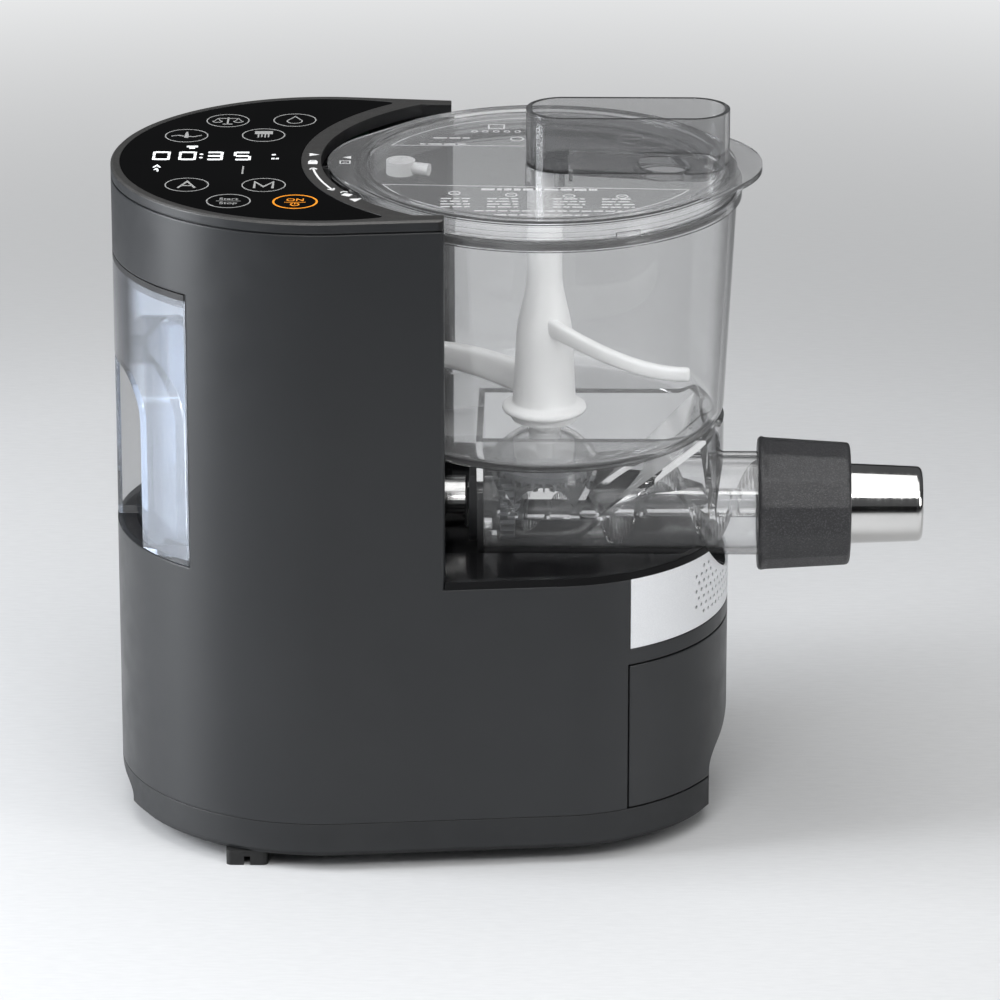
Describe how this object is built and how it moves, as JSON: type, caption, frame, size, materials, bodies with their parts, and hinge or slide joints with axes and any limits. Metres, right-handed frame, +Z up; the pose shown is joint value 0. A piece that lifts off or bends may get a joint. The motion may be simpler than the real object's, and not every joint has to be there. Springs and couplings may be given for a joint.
{
  "type": "electric pasta maker",
  "caption": "Electric pasta maker with an egg-shaped housing, a clear mixing bowl over a screw barrel with a steel nozzle, a lid with a feed funnel, a rear water tank and a front drawer.",
  "frame": {"origin": "on the table under the middle of the bounding box, midway between the rear of the housing and the tip of the nozzle", "axes": "+X the way the pasta comes out of the nozzle, +Z up, +Y to the left of someone who faces the nozzle from behind the tank"},
  "size_m": [0.388, 0.2, 0.3494],
  "materials": {
    "satin_housing": "satin fine texture",
    "graphite_rim": "satin",
    "black_glass": "gloss",
    "gloss_black": "gloss",
    "matte_black": "matt",
    "satin_silver": "satin",
    "clear_plastic": "clear, polished",
    "smoke_plastic": "smoke tint, polished",
    "white_plastic": "satin",
    "black_rubber": "matt",
    "polished_steel": "polished",
    "steel": "satin",
    "brass": "satin",
    "board_green": "satin",
    "sparkle_charcoal": "fine sparkle",
    "clear_hose": "translucent"
  },
  "bodies": {
    "body": {"housing_shell": "satin_housing", "top_cover": "graphite_rim", "control_panel": "black_glass", "control_board": "board_green", "bowl_bay": "gloss_black", "deck_tray": "gloss_black", "vent_plate": "satin_silver", "base_pan": "satin_housing", "feet": "black_rubber", "load_cells": "steel", "base_screws": "steel", "tank_bay": "white_plastic", "drawer_bay": "matte_black", "motor_can": "steel", "motor_cradle": "matte_black", "gearbox_case": "steel", "gearbox_cover": "steel", "output_bushes": "brass", "power_board": "board_green", "water_pump": "matte_black", "pump_bracket": "steel", "suction_hose": "clear_hose", "delivery_hose": "clear_hose", "tank_socket": "black_rubber", "water_outlet": "black_rubber", "blower_housing": "matte_black", "cord_gland": "black_rubber", "lid_switch": "matte_black"},
    "motor_rotor": {"motor_rotor": "steel", "motor_pinion": "brass"},
    "layshaft": {"layshaft_gear": "white_plastic"},
    "output": {"output_shaft": "steel", "output_gear": "white_plastic", "drive_coupling": "polished_steel"},
    "blower": {"blower_wheel": "matte_black"},
    "bowl": {"mixing_bowl": "clear_plastic", "barrel_end_cap": "matte_black", "dome_bush": "white_plastic"},
    "auger": {"auger": "clear_plastic", "auger_pinion": "white_plastic"},
    "paddle": {"mixing_paddle": "white_plastic", "paddle_gear": "white_plastic"},
    "lid_ring": {"lid_seal": "black_rubber"},
    "lid": {"lid": "smoke_plastic", "feed_funnel": "smoke_plastic", "water_spout": "white_plastic"},
    "nozzle": {"nozzle": "polished_steel", "shaping_disc": "brass"},
    "locking_ring": {"locking_ring": "sparkle_charcoal"},
    "water_tank": {"water_tank": "clear_plastic", "tank_cap": "matte_black", "tank_valve": "white_plastic"},
    "drawer": {"drawer_front": "satin_housing", "drawer_tray": "matte_black", "spare_discs": "brass"}
  },
  "joints": [
    {"name": "bowl_slide", "type": "slide", "parent": "body", "child": "bowl", "axis": [1, 0, 0], "range_m": [0, 0.15]},
    {"name": "lid_lift", "type": "slide", "parent": "bowl", "child": "lid_ring", "axis": [0, 0, 1], "range_m": [0, 0.12]},
    {"name": "lid_turn", "type": "hinge", "parent": "lid_ring", "child": "lid", "pos_m": [0.0117, 0, 0.32], "axis": [0, 0, 1], "range_deg": [0, 35]},
    {"name": "nozzle_pull", "type": "slide", "parent": "bowl", "child": "nozzle", "axis": [1, 0, 0], "range_m": [0, 0.06]},
    {"name": "ring_turn", "type": "hinge", "parent": "nozzle", "child": "locking_ring", "pos_m": [0.12, 0, 0.1515], "axis": [1, 0, 0], "range_deg": [-60, 0]},
    {"name": "motor_spin", "type": "hinge", "parent": "body", "child": "motor_rotor", "pos_m": [-0.15, 0, 0.0765], "axis": [1, 0, 0], "continuous": true},
    {"name": "layshaft_spin", "type": "hinge", "parent": "body", "child": "layshaft", "pos_m": [-0.11, 0, 0.1155], "axis": [1, 0, 0], "continuous": true},
    {"name": "output_spin", "type": "hinge", "parent": "body", "child": "output", "pos_m": [-0.06, 0, 0.1515], "axis": [1, 0, 0], "continuous": true},
    {"name": "auger_spin", "type": "hinge", "parent": "bowl", "child": "auger", "pos_m": [0.05, 0, 0.1515], "axis": [1, 0, 0], "continuous": true},
    {"name": "paddle_spin", "type": "hinge", "parent": "bowl", "child": "paddle", "pos_m": [0.0117, 0, 0.25], "axis": [0, 0, 1], "continuous": true},
    {"name": "blower_spin", "type": "hinge", "parent": "body", "child": "blower", "pos_m": [0.0457, 0, 0.108], "axis": [0, 0, 1], "continuous": true},
    {"name": "tank_slide", "type": "slide", "parent": "body", "child": "water_tank", "axis": [-1, 0, 0], "range_m": [0, 0.09]},
    {"name": "drawer_slide", "type": "slide", "parent": "body", "child": "drawer", "axis": [1, 0, 0], "range_m": [0, 0.1]}
  ],
  "couplings": [
    {"joint": "layshaft_spin", "follows": "motor_spin", "ratio": -0.2381},
    {"joint": "output_spin", "follows": "motor_spin", "ratio": 0.079365},
    {"joint": "auger_spin", "follows": "motor_spin", "ratio": 0.079365},
    {"joint": "paddle_spin", "follows": "motor_spin", "ratio": 0.072751}
  ]
}
